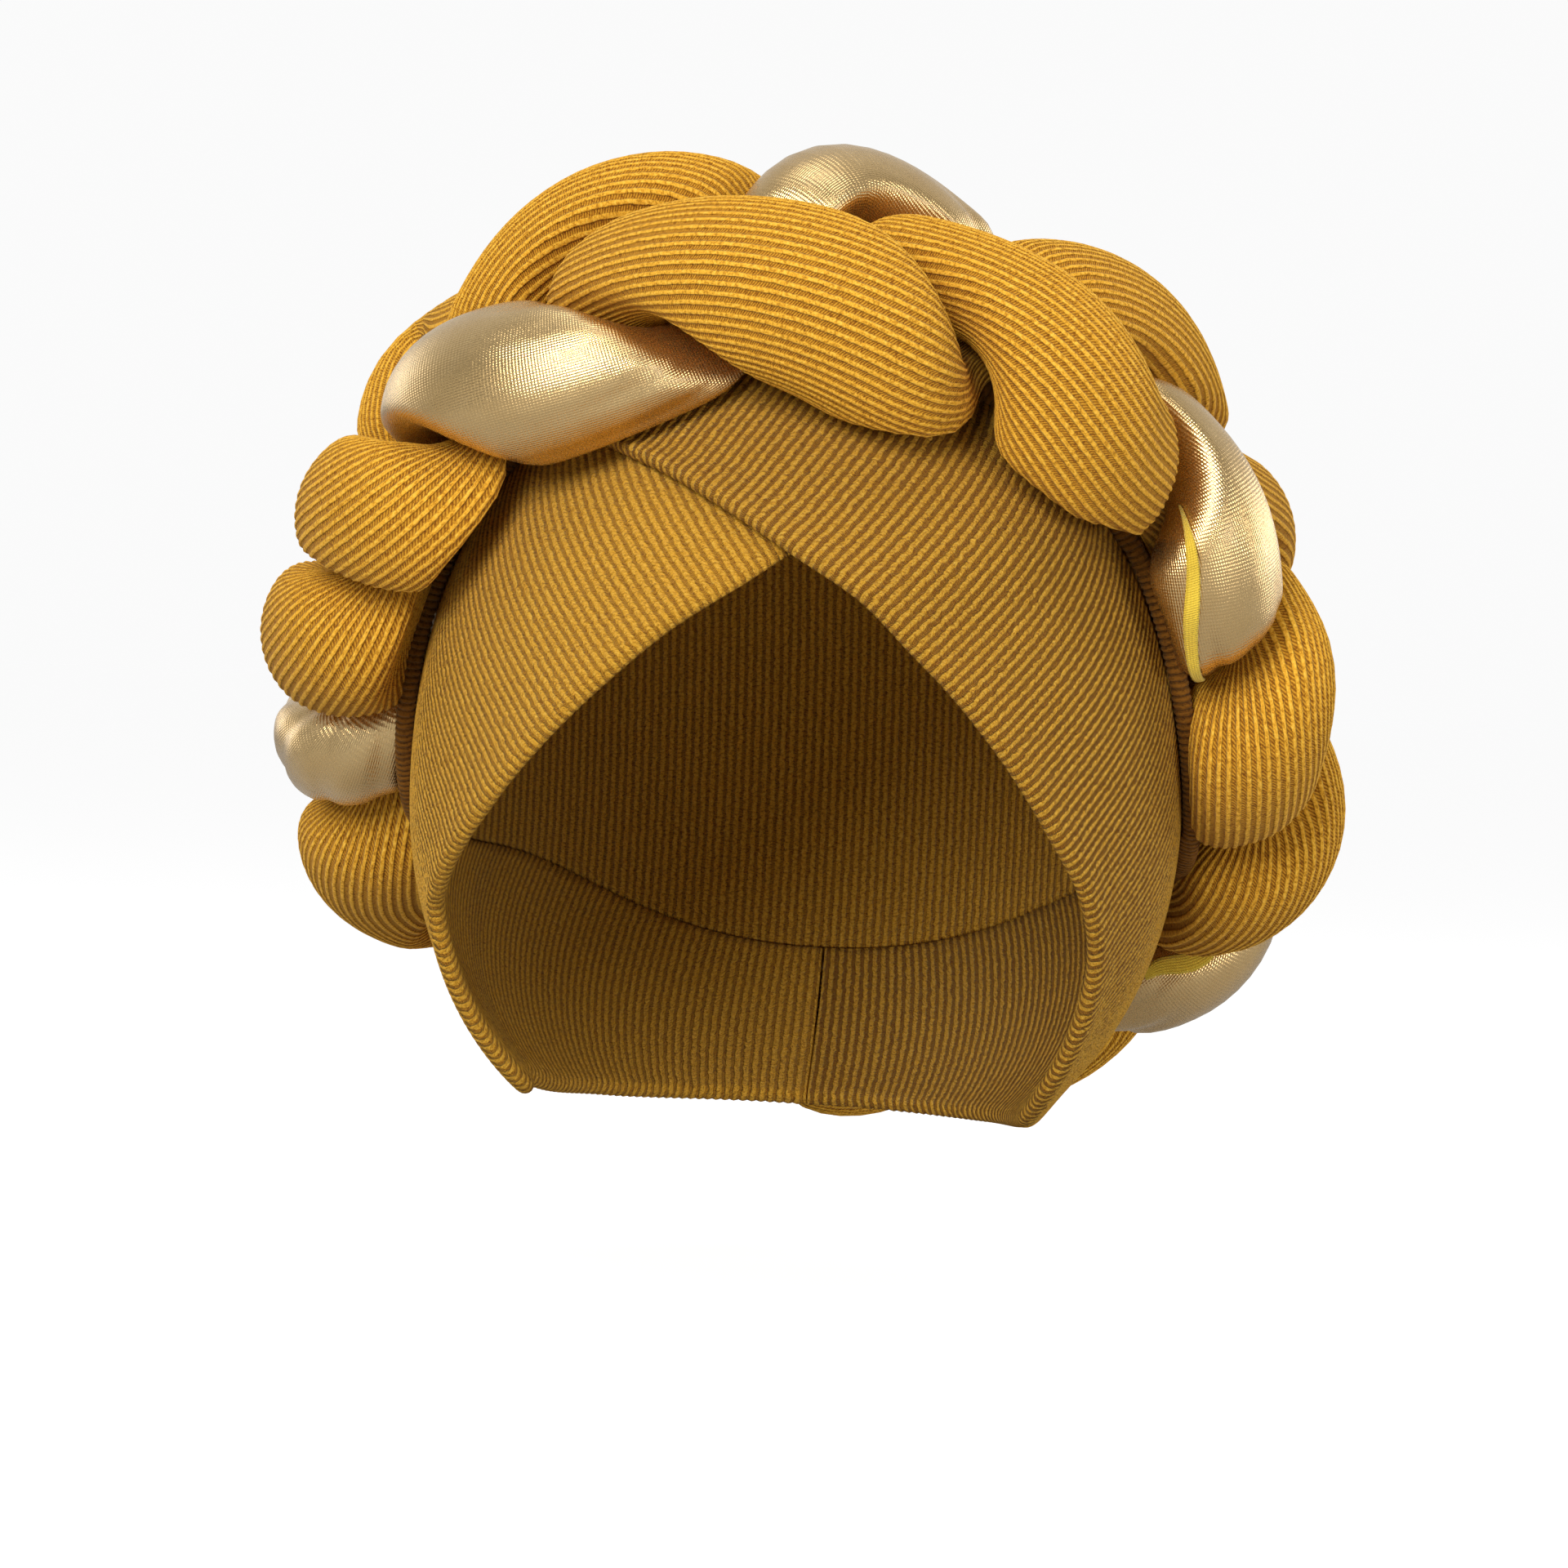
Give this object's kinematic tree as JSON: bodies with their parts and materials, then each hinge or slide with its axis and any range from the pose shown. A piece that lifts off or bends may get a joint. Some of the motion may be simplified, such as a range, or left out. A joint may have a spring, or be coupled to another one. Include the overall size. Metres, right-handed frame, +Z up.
{
  "type": "full turban cap with a twisted, plaited headband",
  "caption": "Soft turban cap with crossed front panels, ringed by a thick stuffed plait of two ribbed knit strands and one metallic cloth strand.",
  "frame": {"origin": "inside of the crown at its highest point, where the top of the head meets the cap", "axes": "+Z up, face opening towards -Y, +X towards the wearer's left, which is the right of the picture"},
  "size_m": [0.229, 0.2324, 0.2059],
  "materials": {
    "mustard_rib_knit": "matte ribbed knit, mustard",
    "gold_foil_cloth": "soft metallic gold foil on a fine weave",
    "yellow_cloth_back": "plain yellow cloth, the back of the gold"
  },
  "bodies": {
    "root": {"crown_cap": "mustard_rib_knit", "front_panel_over": "mustard_rib_knit", "front_panel_under": "mustard_rib_knit", "seam_roll": "mustard_rib_knit", "strand_knit_a": "mustard_rib_knit", "strand_knit_b": "mustard_rib_knit", "strand_gold": "gold_foil_cloth", "gold_seam_flap_upper": "yellow_cloth_back", "gold_seam_flap_lower": "yellow_cloth_back"}
  },
  "joints": []
}
